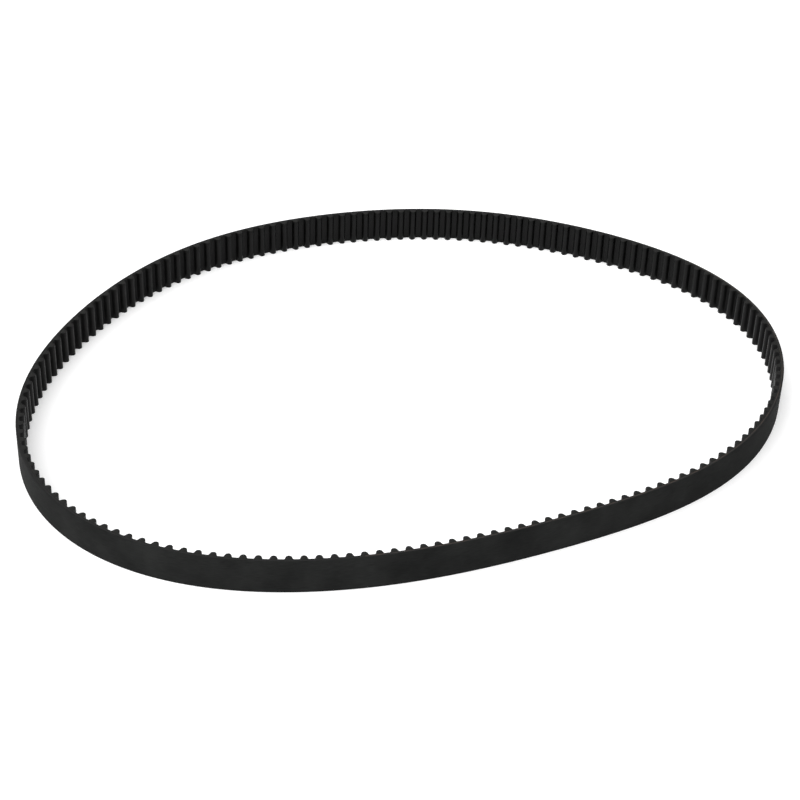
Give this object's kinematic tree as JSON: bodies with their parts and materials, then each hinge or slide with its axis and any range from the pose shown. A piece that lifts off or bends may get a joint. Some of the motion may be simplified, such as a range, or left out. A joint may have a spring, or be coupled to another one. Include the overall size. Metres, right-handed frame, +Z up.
{
  "type": "timing belt",
  "caption": "Endless black rubber timing belt with round teeth on its inner face, standing on its edge in a free oval loop.",
  "frame": {"origin": "on the plane that the belt stands on, below the middle of the loop's bounding box", "axes": "+Z up, across the belt's width from its lower edge to its upper edge; +X along the loop's longest extent; -Y towards the front of the loop"},
  "size_m": [0.5346, 0.439, 0.0254],
  "materials": {
    "backing_rubber": "matte, finely ground",
    "cord_fibre": "rubber-soaked glass fibre cord",
    "tooth_rubber": "matte",
    "facing_fabric": "tightly woven, matte"
  },
  "bodies": {
    "front_left": {"backing_front_left": "backing_rubber", "tension_cords_front_left": "cord_fibre", "tooth_rubber_front_left": "tooth_rubber", "tooth_facing_front_left": "facing_fabric"},
    "front_right": {"backing_front_right": "backing_rubber", "tension_cords_front_right": "cord_fibre", "tooth_rubber_front_right": "tooth_rubber", "tooth_facing_front_right": "facing_fabric"},
    "back_right": {"backing_back_right": "backing_rubber", "tension_cords_back_right": "cord_fibre", "tooth_rubber_back_right": "tooth_rubber", "tooth_facing_back_right": "facing_fabric"},
    "back_middle": {"backing_back_middle": "backing_rubber", "tension_cords_back_middle": "cord_fibre", "tooth_rubber_back_middle": "tooth_rubber", "tooth_facing_back_middle": "facing_fabric"},
    "back_left": {"backing_back_left": "backing_rubber", "tension_cords_back_left": "cord_fibre", "tooth_rubber_back_left": "tooth_rubber", "tooth_facing_back_left": "facing_fabric"}
  },
  "joints": [
    {"name": "front_flex", "type": "hinge", "parent": "front_left", "child": "front_right", "pos_m": [-0.02941, -0.21196, 0.0127], "axis": [0, 0, 1], "range_deg": [-25, 25], "stiffness_Nm_per_rad": 0.03},
    {"name": "right_flex", "type": "hinge", "parent": "front_right", "child": "back_right", "pos_m": [0.26608, 0.02984, 0.0127], "axis": [0, 0, 1], "range_deg": [-25, 25], "stiffness_Nm_per_rad": 0.03},
    {"name": "left_flex", "type": "hinge", "parent": "front_left", "child": "back_left", "pos_m": [-0.26392, -0.02375, 0.0127], "axis": [0, 0, 1], "range_deg": [-25, 25], "stiffness_Nm_per_rad": 0.03},
    {"name": "back_flex", "type": "hinge", "parent": "back_left", "child": "back_middle", "pos_m": [0.03157, 0.21806, 0.0127], "axis": [0, 0, 1], "range_deg": [-25, 25], "stiffness_Nm_per_rad": 0.03}
  ],
  "couplings": [
    {"joint": "right_flex", "follows": "front_flex", "ratio": -1},
    {"joint": "left_flex", "follows": "front_flex", "ratio": 1},
    {"joint": "back_flex", "follows": "front_flex", "ratio": -1}
  ]
}
